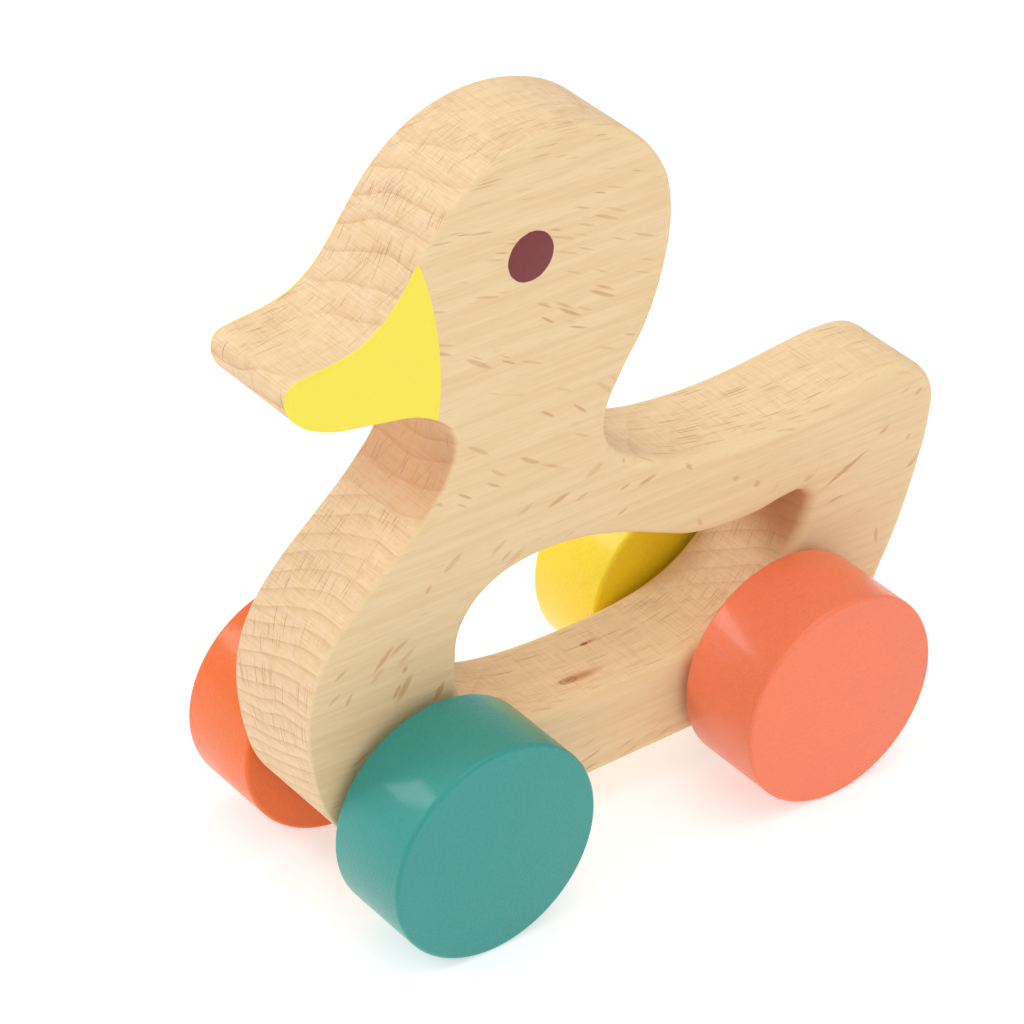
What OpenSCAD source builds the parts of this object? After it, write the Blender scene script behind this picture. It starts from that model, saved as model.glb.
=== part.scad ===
// Wooden duck on four wheels, pushed along by the grip opening in its back.
// X runs the way the duck faces, Y to its left, Z up. The wheels stand on z = 0.

/* [Board] */
// Thickness of the board that the duck is cut from
board_t = 20.5; // [16:0.5:28]
// From the rear axle back to the end of the tail
tail_reach = 35.6; // [28:0.5:42]
// From the front axle forward to the tip of the bill
bill_reach = 27.8; // [24:0.2:36]
// From the axles up to the crown of the head
head_rise = 116.4; // [96:0.2:142]
// From the axles up to the low point of the back
back_rise = 45; // [38:0.5:56]
// From the axles down to the flat belly
belly_drop = 11.7; // [8:0.1:14.4]
// Rounding of the board's edges at the bill, head and chest
head_round = 0.7; // [0.4:0.1:1.8]
// Rounding of the board's edges at the back and tail
tail_round = 3; // [1.5:0.1:3.4]
// Rounding of the edges of the grip opening
grip_round = 2.2; // [1:0.1:3]

/* [Wheels] */
// Diameter of a wheel
wheel_d = 40; // [32:0.5:50]
// Width of a wheel
wheel_w = 17.5; // [14.5:0.5:22]
// Rounding of a wheel's edges
wheel_round = 0.8; // [0.3:0.1:2]
// Distance between the two axles
wheelbase = 72.8; // [60:0.2:90]
// Gap between the board and a wheel
side_gap = 2.2; // [1:0.1:4]

/* [Axles] */
// Diameter of the dowel axles
axle_d = 8; // [6:0.1:10]
// Depth of the blind hole in a wheel that an axle is glued into
axle_seat = 12; // [9:0.5:13]
// Space left between an axle's end and the bottom of its hole
glue_space = 0.5; // [0.2:0.1:1]
// Gap all round an axle in the board's bore
running_gap = 0.08; // [0.03:0.01:0.1]
// Chamfer on an axle's ends
axle_chamfer = 0.6; // [0.2:0.1:1]

/* [Paint] */
// Thickness of the paint films
paint_t = 0.15; // [0.1:0.05:0.3]
// Diameter of the eye
eye_d = 8.8; // [6:0.2:12]
// Radius of the arc where the bill's paint ends
bill_arc_r = 62; // [50:1:75]

/* [Hidden] */

beech = [0.88, 0.75, 0.57];
dowel_wood = [0.84, 0.72, 0.55];
bill_yellow = [0.95, 0.88, 0.25];
eye_maroon = [0.50, 0.22, 0.22];
wheel_teal = [0.31, 0.60, 0.57];
wheel_coral = [0.95, 0.50, 0.40];
wheel_orange = [0.93, 0.45, 0.22];
wheel_yellow = [0.97, 0.88, 0.20];

wheel_r = wheel_d / 2;
board_half = board_t / 2;
wheel_inner = board_half + side_gap;
axle_half = wheel_inner + axle_seat - glue_space;
bore_r = axle_d / 2 + running_gap;
cut_over = 1;        // how far a cutter runs past the faces it cuts
curve_steps = 5;     // pieces of curve between two outline points
round_steps = 3;     // facets across a rounded edge
wheel_facets = 96;
round_facets = 6;

// The outlines are drawn with the axles 72.8 apart and 20 above the ground, then stretched so that
// each of these lines falls where the sizes above put it.
along_lines = [
    [-72, -wheelbase / 2 - tail_reach],
    [-36.4, -wheelbase / 2],
    [36.4, wheelbase / 2],
    [64.2, wheelbase / 2 + bill_reach],
];
up_lines = [
    [8.3, wheel_r - belly_drop],
    [20, wheel_r],
    [65, wheel_r + back_rise],
    [136.4, wheel_r + head_rise],
];
function along(x) = lookup(x, along_lines);
function up(z) = lookup(z, up_lines);
function placed(points) = [for (p = points) [along(p.x), up(p.y)]];

// Outline points of the duck, anticlockwise from under the tip of the bill
duck_points = [
    [60.5, 99.3], [62.9, 101.7], [64.1, 104.6], [63.9, 106.5], [62.9, 107.7], [61, 108.15],
    [54.4, 109], [49.6, 110.3],
    [45.3, 113.3], [41.8, 117.5], [38.6, 122.4], [34.9, 127.3], [29.8, 131.8], [23, 135.1],
    [15.5, 136.4], [8.1, 135.6], [0.9, 132.9], [-5.4, 127.8], [-9.8, 121], [-11, 113],
    [-9.8, 103.8], [-6.5, 94.5], [-2, 87.2], [0.9, 80.8], [0.6, 75.6], [-2.5, 71.7],
    [-8, 68.7], [-15.4, 66.3], [-26, 64.9], [-40, 65.1], [-53, 66.5], [-60, 67],
    [-66.2, 66.1], [-69.8, 63.3], [-71.8, 59.3], [-71.8, 54.5], [-69.6, 44], [-66.2, 33.4],
    [-62.4, 25], [-56.5, 12.8], [-53.5, 9.4], [-49, 8.3], [-45, 8.3], [35, 8.3],
    [39.5, 8.3], [43.6, 10], [50.4, 16.6], [55.2, 22.2], [57.1, 26], [58.3, 30],
    [59.6, 36.5], [60, 43], [59, 49.3], [56.1, 55.5], [51.7, 60.9], [44.6, 67.4],
    [37.8, 73.8], [33, 80.2], [31.5, 85], [32.5, 89], [37, 92.7], [47.5, 95.3], [56, 97],
];

// Outline points of the grip opening, anticlockwise from its front edge
grip_points = [
    [29.9, 43], [29.4, 48.9], [26.8, 53.3], [22.2, 56.4], [16, 57.9], [9, 58],
    [1.5, 56.7], [-5, 54.7], [-11.5, 52.1], [-18, 49.5], [-25, 48.4], [-33, 48.3],
    [-39, 49.2], [-42.6, 49.1], [-44, 47.2], [-43.2, 43.4], [-40.6, 38.6], [-36, 33.3],
    [-31, 29.3], [-25.5, 26.9], [-19, 25.5], [-10, 24.8], [0, 24.8], [8, 25.4],
    [16, 27], [22.5, 29.6], [27.3, 33.3], [29.5, 38],
];

bill_arc_centre = [along(35) + bill_arc_r, up(98)];
bill_paint_floor = up(86);
eye_centre = [along(18), up(115.6)];

// Slope of the smooth curve through a, b and c at b, for uneven steps between them
function slope(a, b, c) =
    let (before = norm(b - a), after = norm(c - b))
    ((b - a) * after / before + (c - b) * before / after) / (before + after);

function blend(a, b, slope_a, slope_b, t) =
    let (span = norm(b - a))
    (2 * t ^ 3 - 3 * t ^ 2 + 1) * a + (t ^ 3 - 2 * t ^ 2 + t) * span * slope_a
    + (3 * t ^ 2 - 2 * t ^ 3) * b + (t ^ 3 - t ^ 2) * span * slope_b;

// Smooth closed curve through all the points
function smooth_loop(points, steps) =
    let (n = len(points))
    [for (i = [0 : n - 1])
        let (
            a = points[(i + n - 1) % n], b = points[i],
            c = points[(i + 1) % n], d = points[(i + 2) % n]
        )
        for (k = [0 : steps - 1])
            blend(b, c, slope(a, b, c), slope(b, c, d), k / steps)];

// Unit normals of an anticlockwise loop, pointing out of it
function outward(loop) =
    let (n = len(loop))
    [for (i = [0 : n - 1])
        let (side = loop[(i + 1) % n] - loop[(i + n - 1) % n])
        [side.y, -side.x] / norm(side)];

// The loop moved along its normals, by its own distance at each point
function moved(loop, distances) =
    let (normals = outward(loop))
    [for (i = [0 : len(loop) - 1]) loop[i] + distances[i] * normals[i]];

belly_z = wheel_r - belly_drop;
raw_duck = [for (p = smooth_loop(placed(duck_points), curve_steps)) [p.x, max(p.y, belly_z)]];
raw_x = [for (p = raw_duck) p.x];
middle_x = (max(raw_x) + min(raw_x)) / 2;
function centred(points) = [for (p = points) p - [middle_x, 0]];

duck_loop = centred(raw_duck);
grip_loop = centred(smooth_loop(placed(grip_points), curve_steps));
front_axle_x = wheelbase / 2 - middle_x;
rear_axle_x = -wheelbase / 2 - middle_x;

// The edges grow rounder from the chest back to the tail
round_lines = [[rear_axle_x, tail_round], [front_axle_x, head_round]];
duck_rounds = [for (p = duck_loop) lookup(p.x, round_lines)];
grip_rounds = [for (p = grip_loop) grip_round];
duck_face = moved(duck_loop, -duck_rounds);

// The flat shape inside a loop, through the board's thickness and a little past each face
module through(loop, over) {
    translate([0, board_half + over, 0])
        rotate([90, 0, 0])
            linear_extrude(board_t + 2 * over) polygon(loop);
}

// What a quarter round takes off the edge where a loop meets the left face (side 1) or the right
// face (side -1). The wood lies inside the loop (wood -1) or outside it (wood 1).
module edge_cutter(loop, rounds, wood, side) {
    n = len(loop);
    angles = [for (k = [0 : round_steps]) 90 * k / round_steps];
    // Each corner is a depth into the wood and a height from the board's middle
    function section(r) = [
        [-cut_over, board_half + cut_over],
        [r, board_half + cut_over],
        each [for (a = angles) [r * (1 - sin(a)), board_half - r * (1 - cos(a))]],
        [-cut_over, board_half - r],
    ];
    normals = outward(loop);
    corners = len(section(1));
    points = [for (i = [0 : n - 1]) each
        [for (c = section(rounds[i]))
            let (flat = loop[i] + wood * c.x * normals[i])
            [flat.x, side * c.y, flat.y]]];
    faces = [for (i = [0 : n - 1], c = [0 : corners - 1])
        let (
            near = i * corners, far = ((i + 1) % n) * corners, next = (c + 1) % corners,
            quad = [near + c, near + next, far + next, far + c]
        )
        wood * side > 0 ? quad : [for (k = [3 : -1 : 0]) quad[k]]];
    polyhedron(points, faces);
}

module across(x, r, half) {
    translate([x, 0, wheel_r])
        rotate([90, 0, 0])
            cylinder(r = r, h = 2 * half, center = true, $fn = wheel_facets);
}

module duck_body() {
    color(beech)
        difference() {
            through(duck_loop, 0);
            through(grip_loop, cut_over);
            for (side = [-1, 1]) {
                edge_cutter(duck_loop, duck_rounds, -1, side);
                edge_cutter(grip_loop, grip_rounds, 1, side);
            }
            for (x = [front_axle_x, rear_axle_x]) across(x, bore_r, board_half + cut_over);
        }
}

// A flat shape drawn in X and Z, laid on the left face (side 1) or the right face (side -1)
module film(side) {
    translate([0, side > 0 ? board_half + paint_t : -board_half, 0])
        rotate([90, 0, 0])
            linear_extrude(paint_t) children();
}

module bill_paint(side) {
    reach = 2 * bill_arc_r;
    color(bill_yellow)
        film(side)
            intersection() {
                polygon(duck_face);
                translate(bill_arc_centre - [middle_x, 0]) circle(bill_arc_r, $fn = 180);
                translate([0, bill_paint_floor]) square([reach, reach]);
            }
}

module eye_paint(side) {
    color(eye_maroon)
        film(side)
            translate(eye_centre - [middle_x, 0]) circle(d = eye_d, $fn = 64);
}

module axle(x) {
    r = axle_d / 2;
    half = [
        [0, 0], [r, 0], [r, axle_half - axle_chamfer], [r - axle_chamfer, axle_half], [0, axle_half],
    ];
    color(dowel_wood)
        for (turn = [-90, 90])
            translate([x, 0, wheel_r])
                rotate([turn, 0, 0])
                    rotate_extrude($fn = wheel_facets) polygon(half);
}

// Quarter round from the angle given, for a corner of a turned profile
function corner(centre, from) =
    [for (k = [0 : round_facets])
        let (a = from + 90 * k / round_facets)
        centre + wheel_round * [cos(a), sin(a)]];

// A wheel stands on its inner face here, with the blind hole for the axle at the bottom
module wheel_form() {
    rotate_extrude($fn = wheel_facets)
        polygon([
            [0, axle_seat], [axle_d / 2, axle_seat], [axle_d / 2, 0],
            each corner([wheel_r - wheel_round, wheel_round], -90),
            each corner([wheel_r - wheel_round, wheel_w - wheel_round], 0),
            [0, wheel_w],
        ]);
}

module wheel(x, side) {
    translate([x, side * wheel_inner, wheel_r])
        rotate([-90 * side, 0, 0])
            wheel_form();
}

module front_left_wheel() { color(wheel_teal) wheel(front_axle_x, 1); }
module front_right_wheel() { color(wheel_orange) wheel(front_axle_x, -1); }
module rear_left_wheel() { color(wheel_coral) wheel(rear_axle_x, 1); }
module rear_right_wheel() { color(wheel_yellow) wheel(rear_axle_x, -1); }

duck_body();
bill_paint(1);  // left_bill_paint
bill_paint(-1);  // right_bill_paint
eye_paint(1);  // left_eye_paint
eye_paint(-1);  // right_eye_paint
axle(front_axle_x);  // front_axle
front_left_wheel();
front_right_wheel();
axle(rear_axle_x);  // rear_axle
rear_left_wheel();
rear_right_wheel();
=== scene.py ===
"""A wooden duck on four wheels: a sawn beech board, painted bill and eyes, and painted wheels on dowels.

Pieces are in metres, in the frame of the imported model. Patterns in the materials are in millimetres.
"""

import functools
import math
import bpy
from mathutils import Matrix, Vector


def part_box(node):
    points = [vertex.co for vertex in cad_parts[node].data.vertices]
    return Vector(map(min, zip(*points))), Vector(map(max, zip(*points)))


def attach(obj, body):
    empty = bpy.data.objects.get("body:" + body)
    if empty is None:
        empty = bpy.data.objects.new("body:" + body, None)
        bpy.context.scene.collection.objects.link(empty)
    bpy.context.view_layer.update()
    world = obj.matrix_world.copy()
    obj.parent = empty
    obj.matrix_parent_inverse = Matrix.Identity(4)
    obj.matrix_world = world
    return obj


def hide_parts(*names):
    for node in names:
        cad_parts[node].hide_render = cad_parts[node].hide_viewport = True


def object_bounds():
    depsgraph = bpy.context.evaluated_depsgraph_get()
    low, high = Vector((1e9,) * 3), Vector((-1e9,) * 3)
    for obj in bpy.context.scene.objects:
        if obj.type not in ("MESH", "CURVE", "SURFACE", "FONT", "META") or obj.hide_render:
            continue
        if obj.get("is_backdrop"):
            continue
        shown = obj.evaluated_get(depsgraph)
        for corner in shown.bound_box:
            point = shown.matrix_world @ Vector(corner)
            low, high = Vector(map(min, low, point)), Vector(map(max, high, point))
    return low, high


bl_info = {
    "name": "Wooden Duck",
    "version": (1, 0, 0),
    "blender": (4, 5, 0),
    "location": "3D View > Sidebar > Duck",
    "description": "Makes a push-along wooden duck around its fitted frame",
    "category": "Add Mesh",
}

import bmesh
import bpy
import numpy as np
from mathutils import Color, Matrix, Vector, noise
from mathutils.geometry import delaunay_2d_cdt

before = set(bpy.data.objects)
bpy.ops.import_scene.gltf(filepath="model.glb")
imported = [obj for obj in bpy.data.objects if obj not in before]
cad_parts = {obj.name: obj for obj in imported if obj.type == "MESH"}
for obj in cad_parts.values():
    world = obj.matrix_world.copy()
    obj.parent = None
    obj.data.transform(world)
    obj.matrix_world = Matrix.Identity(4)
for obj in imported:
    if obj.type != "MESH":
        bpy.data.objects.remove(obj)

MM = 0.001
WELD = 1e-6
INSIDE_THE_EDGES = 1  # the triangulation's way of keeping only what its edges enclose
ROUNDING_PASSES = 8  # passes that ease the rounding read along an edge
EDGE_DETAIL = 4  # times finer than the outline that the face's edge is read
SMOOTH_UNDER = math.radians(32)
PITH_REACH = 90  # millimetres from the pith at which the ray pattern keeps its true width
WOOD_RELIEF = 0.05 * MM
WHEELS = {
    "front_left_wheel": ("front_wheelset", "wheel_teal", 1),
    "front_right_wheel": ("front_wheelset", "wheel_orange", -1),
    "rear_left_wheel": ("rear_wheelset", "wheel_coral", 1),
    "rear_right_wheel": ("rear_wheelset", "wheel_yellow", -1),
}
AXLES = ("front_axle", "rear_axle")
SIDES = {"left": 1, "right": -1}


# ---------------------------------------------------------------- sizes and colours a user would change


def length(name, description, default, low=0.0, high=1.0):
    return bpy.props.FloatProperty(
        name=name,
        description=description,
        default=default,
        min=low,
        max=high,
        unit="LENGTH",
        precision=5,
    )


def share(name, description, default):
    return bpy.props.FloatProperty(
        name=name, description=description, default=default, min=0, max=1, subtype="FACTOR"
    )


def number(name, description, default, low, high):
    return bpy.props.FloatProperty(
        name=name, description=description, default=default, min=low, max=high
    )


def power(name, description, default):
    return bpy.props.FloatProperty(name=name, description=description, default=default, unit="POWER")


def angle(name, description, degrees):
    return bpy.props.FloatProperty(
        name=name, description=description, default=math.radians(degrees), subtype="ANGLE"
    )


def colour(name, description, red, green, blue):
    """A colour as a painter's chart gives it, each part from 0 to 255"""
    return bpy.props.FloatVectorProperty(
        name=name,
        description=description,
        default=(red / 255, green / 255, blue / 255),
        min=0,
        max=1,
        subtype="COLOR_GAMMA",
    )


def count(name, description, default, low, high):
    return bpy.props.IntProperty(
        name=name, description=description, default=default, min=low, max=high
    )


class DuckBoardSizes(bpy.types.PropertyGroup):
    outline_step: length("Outline step", "Spacing of the points along the sawn outline", 0.0005)
    outline_softening: count("Outline softening", "Passes that ease the outline's small corners", 3, 0, 20)
    face_step: length("Face step", "Spacing of the points across the flat faces", 0.003)
    round_steps: count("Edge steps", "Rows of faces round a sanded edge", 7, 2, 16)
    wall_steps: count("Wall steps", "Rows of faces across the board's thickness", 6, 1, 20)
    bore_points: count("Bore points", "Points round an axle bore", 72, 16, 256)


class DuckBeech(bpy.types.PropertyGroup):
    pale: colour("Pale wood", "The lightest wood of the faces", 237, 208, 165)
    streak: colour("Streak", "The darker streaks along the grain", 226, 193, 146)
    ring: colour("Ring line", "The line where a year's growth ends", 188, 134, 92)
    fleck: colour("Fleck", "The small rays where they meet a face", 194, 142, 92)
    end_grain: colour("End grain", "The wood where the saw crosses the grain", 232, 198, 168)
    # This reddish colour paints the real spots and knot halos, and also the painted shade on the sawn walls
    end_line: colour("End grain lines", "The lines in the sawn end grain", 156, 98, 64)
    # The same pale colour paints the sanding scuffs on the walls, and a painted highlight along the middle of
    # every rounded edge
    sanded: colour("Sanded edge", "The pale line along the sanded edges", 244, 216, 166)
    stain_and_shade: colour("Stain", "The reddish spots in the wood", 196, 128, 80)
    knot: colour("Knot", "The heart of a pin knot", 96, 52, 34)
    ring_width: number("Ring width", "Width of a year's growth in millimetres", 3.4, 1, 8)
    joint: length("Glue joint", "Height where the upper plank is glued to the lower", 0.0725)


class DuckPaints(bpy.types.PropertyGroup):
    bill: colour("Bill", "Paint of the bill", 244, 227, 76)
    eye: colour("Eye", "Paint of the eyes", 120, 46, 50)
    wheel_teal: colour("Front left wheel", "Paint of the front left wheel", 44, 148, 139)
    wheel_orange: colour("Front right wheel", "Paint of the front right wheel", 240, 108, 32)
    wheel_coral: colour("Rear left wheel", "Paint of the rear left wheel", 247, 124, 84)
    wheel_yellow: colour("Rear right wheel", "Paint of the rear right wheel", 255, 229, 40)
    film: length("Film", "Thickness of the paint on the bill and the eyes", 0.00012)
    wrap: angle("Wrap", "How far round the sanded edge the bill's paint goes", 69)
    ragged: share("Ragged edge", "How unevenly the bill's paint ends, as a share of its wrap", 0.14)
    film_steps: count("Film steps", "Rows of faces round the edge of the bill's paint", 8, 2, 32)


class DuckWheelSizes(bpy.types.PropertyGroup):
    rounding: length("Edge rounding", "Rounding of the outer edges", 0.0008)
    hole_rounding: length("Hole rounding", "Rounding at the mouth of the axle's hole", 0.0003)
    segments: count("Segments", "Faces round a wheel", 192, 24, 512)
    round_steps: count("Edge steps", "Rows of faces round an edge", 6, 1, 16)


class DuckStage(bpy.types.PropertyGroup):
    azimuth: angle("Azimuth", "Where the camera stands round the duck", 141.92)
    elevation: angle("Elevation", "How high the camera stands", 33.515)
    roll: angle("Roll", "How far the camera leans to one side", 1.744)
    distance: length("Distance", "From the camera to the point that it looks at", 0.7421, high=5)
    aim: bpy.props.FloatVectorProperty(
        name="Aim",
        description="The point that the camera looks at",
        default=(0.01609, 0, 0.06047),
        subtype="XYZ",
        unit="LENGTH",
    )
    lens: number("Lens", "Focal length in millimetres", 159.87, 20, 400)
    floor: colour("Floor", "The plain floor", 214, 214, 214)
    floor_size: length("Floor size", "Side of the square floor", 6, high=20)
    floor_glow: share("Floor glow", "Light that the floor gives off, which keeps it plain", 0.5)
    air: share("Air", "Even light from all round", 0.62)
    key: power("Key light", "Power of the main light", 3.2)
    rim: power("Rim light", "Power of the light behind", 6.5)
    top: power("Top light", "Power of the light overhead", 7)


# ---------------------------------------------------------------- outlines taken from the frame


def section_loops(node, y):
    """The closed loops where the plane at y cuts a CAD node, longest first, as rows of x and z"""
    work = bmesh.new()
    work.from_mesh(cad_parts[node].data)
    bmesh.ops.remove_doubles(work, verts=work.verts, dist=WELD)
    everything = work.verts[:] + work.edges[:] + work.faces[:]
    cut = bmesh.ops.bisect_plane(
        work,
        geom=everything,
        dist=WELD / 100,
        plane_co=(0, y, 0),
        plane_no=(0, 1, 0),
        clear_inner=True,
        clear_outer=True,
    )
    edges = {part for part in cut["geom_cut"] if isinstance(part, bmesh.types.BMEdge)}
    loops = []
    while edges:
        edge = edges.pop()
        start, corner = edge.verts
        loop = [start.co.copy()]
        while corner != start:
            loop.append(corner.co.copy())
            edge = next((e for e in corner.link_edges if e in edges), None)
            if edge is None:
                break
            edges.discard(edge)
            corner = edge.other_vert(corner)
        loops.append(from_the_front(np.array([(p.x, p.z) for p in loop])))
    work.free()
    return sorted(loops, key=lambda loop: (perimeter(loop), loop[0, 0]), reverse=True)


def perimeter(loop):
    return np.linalg.norm(loop - np.roll(loop, 1, axis=0), axis=1).sum()


def anticlockwise(loop):
    x, z = loop.T
    area = (x * np.roll(z, -1) - np.roll(x, -1) * z).sum()
    return loop if area > 0 else loop[::-1]


def from_the_front(loop):
    """The loop anticlockwise from its foremost point, so that it is the same on every run"""
    loop = anticlockwise(loop)
    return np.roll(loop, -np.lexsort((loop[:, 1], loop[:, 0]))[-1], axis=0)


def even_loop(loop, step, softening=0):
    """The loop with evenly spaced points, its small corners eased"""
    closed = np.vstack([loop, loop[:1]])
    reached = np.concatenate([[0], np.linalg.norm(np.diff(closed, axis=0), axis=1).cumsum()])
    points = max(8, round(reached[-1] / step))
    wanted = np.arange(points) * reached[-1] / points
    even = np.column_stack([np.interp(wanted, reached, closed[:, k]) for k in (0, 1)])
    for _ in range(softening):
        even = (np.roll(even, 1, axis=0) + 2 * even + np.roll(even, -1, axis=0)) / 4
    return even


def outward(loop):
    """Unit normals of an anticlockwise loop, pointing out of it"""
    side = np.roll(loop, -1, axis=0) - np.roll(loop, 1, axis=0)
    normals = np.column_stack([side[:, 1], -side[:, 0]])
    return normals / np.linalg.norm(normals, axis=1)[:, None]


def nearest(points, others):
    """How far each point is from the nearest of the others"""
    return np.array([np.linalg.norm(others - p, axis=1).min() for p in points])


class BoardOutline:
    """The board's outline and grip opening, with the rounding of their edges, read off the frame"""

    def __init__(self, sizes):
        low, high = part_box("duck_body")
        self.half = high.y
        middle = section_loops("duck_body", 0.0)
        face = section_loops("duck_body", self.half - 2 * WELD)
        self.loops, self.rounds = [], []
        for k in (0, 1):
            loop = even_loop(middle[k], sizes.outline_step, sizes.outline_softening)
            edge = even_loop(face[k], sizes.outline_step / EDGE_DETAIL)
            rounds = nearest(loop, edge)
            for _ in range(ROUNDING_PASSES):
                rounds = (np.roll(rounds, 1) + 2 * rounds + np.roll(rounds, -1)) / 4
            self.loops.append(loop)
            self.rounds.append(rounds)
        self.bores = [loop.mean(axis=0) for loop in middle[2:]]
        self.bore_radius = np.linalg.norm(middle[2] - self.bores[0], axis=1).max()

    def row(self, k, side, angles):
        """Points round edge k, where 0 is the sawn wall and a quarter turn is the flat face"""
        inwards = -1 if k == 0 else 1
        loop, rounds = self.loops[k], self.rounds[k]
        flat = loop + (inwards * rounds * (1 - np.cos(angles)))[:, None] * outward(loop)
        y = side * (self.half - rounds * (1 - np.sin(angles)))
        return np.column_stack([flat[:, 0], y, flat[:, 1]])


def inside(points, loop):
    """Which of the points lie inside the loop"""
    found = np.zeros(len(points), dtype=bool)
    for (x1, z1), (x2, z2) in zip(loop, np.roll(loop, -1, axis=0)):
        spans = (z1 > points[:, 1]) != (z2 > points[:, 1])
        if spans.any():
            crossing = x1 + (points[spans, 1] - z1) * (x2 - x1) / (z2 - z1)
            found[spans] ^= points[spans, 0] < crossing
    return found


def face_cover(rim, holes, step):
    """Points and triangles over the flat shape inside the rim and outside the holes"""
    edges_of, points = [], []
    for loop in [rim, *holes]:
        first = len(points)
        points += [tuple(p) for p in loop]
        edges_of += [(first + i, first + (i + 1) % len(loop)) for i in range(len(loop))]
    fixed = np.array(points)
    low, high = fixed.min(axis=0), fixed.max(axis=0)
    rows = np.arange(low[1], high[1], step * math.sqrt(3) / 2)
    for i, z in enumerate(rows):
        line = np.arange(low[0] + (i % 2) * step / 2, high[0], step)
        spare = np.column_stack([line, np.full(len(line), z)])
        points += [tuple(p) for p in spare[nearest(spare, fixed) > step / 2]]
    made = delaunay_2d_cdt([Vector(p) for p in points], edges_of, [], INSIDE_THE_EDGES, WELD / 1000)
    corners, faces = np.array(made[0]), np.array(made[2])
    middles = corners[faces].mean(axis=1)
    kept = inside(middles, rim)
    for hole in holes:
        kept &= ~inside(middles, hole)
    return corners, faces[kept]


def add_rows(work, rows):
    """Faces between rows of points, each row a closed loop"""
    corners = [[work.verts.new(p) for p in row] for row in rows]
    for upper, lower in zip(corners, corners[1:]):
        for i in range(len(upper)):
            j = (i + 1) % len(upper)
            work.faces.new((upper[i], upper[j], lower[j], lower[i]))
    return corners


def add_face(work, rim, holes, y, step):
    """The flat face at y, inside the rim and outside the holes"""
    points, faces = face_cover(rim, holes, step)
    corners = [work.verts.new((p[0], y, p[1])) for p in points]
    for face in faces:
        work.faces.new([corners[i] for i in face])


def smooth_mesh(work, name):
    """The finished mesh, smooth where it curves and sharp at its corners"""
    bmesh.ops.remove_doubles(work, verts=work.verts, dist=WELD)
    loose = [v for v in work.verts if not v.link_faces]
    bmesh.ops.delete(work, geom=loose, context="VERTS")
    mesh = bpy.data.meshes.new(name)
    work.to_mesh(mesh)
    work.free()
    mesh.shade_smooth()
    mesh.set_sharp_from_angle(angle=SMOOTH_UNDER)
    return mesh


def outward_mesh(mesh, name):
    """The closed mesh, smooth, with its faces turned outwards"""
    work = bmesh.new()
    work.from_mesh(mesh)
    if work.calc_volume(signed=True) < 0:
        bmesh.ops.reverse_faces(work, faces=work.faces)
    return smooth_mesh(work, name)


def add_piece(name, mesh, body, material, slot, *nodes):
    """Shows the mesh as a piece that moves with a body and stands for CAD nodes"""
    piece = bpy.data.objects.new(name, mesh)
    bpy.context.scene.collection.objects.link(piece)
    piece.data.materials.clear()
    piece.data.materials.append(material)
    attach(piece, body)
    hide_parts(*nodes)
    return piece


# ---------------------------------------------------------------- nodes


def linear(painted):
    """A chart colour as the shader's linear colour with alpha"""
    return (*Color(painted).from_srgb_to_scene_linear(), 1)


class Wires:
    """Adds nodes to a tree from left to right and joins them up"""

    def __init__(self, tree):
        self.tree = tree
        self.across = 0

    def add(self, kind, inputs=None, **settings):
        node = self.tree.nodes.new(kind)
        node.location = (self.across, 0)
        self.across += 180
        for name, value in settings.items():
            setattr(node, name, value)
        for key, value in (inputs or {}).items():
            self.join(value, node.inputs[key])
        return node

    def join(self, value, socket):
        if isinstance(value, bpy.types.NodeSocket):
            self.tree.links.new(value, socket)
        else:
            socket.default_value = value

    def math(self, operation, *values, clamp=False):
        node = self.add("ShaderNodeMath", dict(enumerate(values)), operation=operation, use_clamp=clamp)
        return node.outputs[0]

    def vector(self, operation, *values):
        node = self.add("ShaderNodeVectorMath", dict(enumerate(values)), operation=operation)
        return node.outputs["Value" if operation in ("LENGTH", "DOT_PRODUCT") else "Vector"]

    def product(self, *values):
        return functools.reduce(lambda first, second: self.math("MULTIPLY", first, second), values)

    def plus(self, first, second):
        return self.math("ADD", first, second)

    def times(self, position, *by):
        return self.vector("MULTIPLY", position, by)

    def group(self, tree, inputs):
        return self.add("ShaderNodeGroup", inputs, node_tree=tree).outputs

    def noise(self, position, detail=2.0, rough=0.5, part="Fac"):
        node = self.add(
            "ShaderNodeTexNoise", {"Vector": position, "Scale": 1.0, "Detail": detail, "Roughness": rough}
        )
        return node.outputs[part]

    def cells(self, position):
        node = self.add("ShaderNodeTexVoronoi", {"Vector": position, "Scale": 1.0})
        return node.outputs["Distance"], node.outputs["Color"]

    def split(self, vector):
        return self.add("ShaderNodeSeparateXYZ", {0: vector}).outputs

    def ramp(self, value, low, high, to_low=0.0, to_high=1.0):
        node = self.add(
            "ShaderNodeMapRange",
            {"Value": value, "From Min": low, "From Max": high, "To Min": to_low, "To Max": to_high},
            interpolation_type="SMOOTHSTEP",
        )
        return node.outputs[0]

    def mix(self, amount, first, second):
        node = self.add("ShaderNodeMix", {0: amount, 6: first, 7: second}, data_type="RGBA")
        return node.outputs[2]

    def pick(self, amount, first, second):
        node = self.add("ShaderNodeMix", {0: amount, 2: first, 3: second}, data_type="FLOAT")
        return node.outputs[0]

    def attribute(self, name):
        return self.add("ShaderNodeAttribute", attribute_name=name).outputs["Fac"]


KINDS = {"vector": "NodeSocketVector", "float": "NodeSocketFloat", "colour": "NodeSocketColor"}


def shader_group(name, inputs, outputs):
    """An empty shader node group, as wires, its input sockets and its output node"""
    tree = bpy.data.node_groups.new(name, "ShaderNodeTree")
    for label, kind in inputs.items():
        tree.interface.new_socket(label, in_out="INPUT", socket_type=KINDS[kind])
    for label, kind in outputs.items():
        tree.interface.new_socket(label, in_out="OUTPUT", socket_type=KINDS[kind])
    wires = Wires(tree)
    entry = wires.add("NodeGroupInput")
    leave = tree.nodes.new("NodeGroupOutput")
    return wires, entry.outputs, leave


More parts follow.
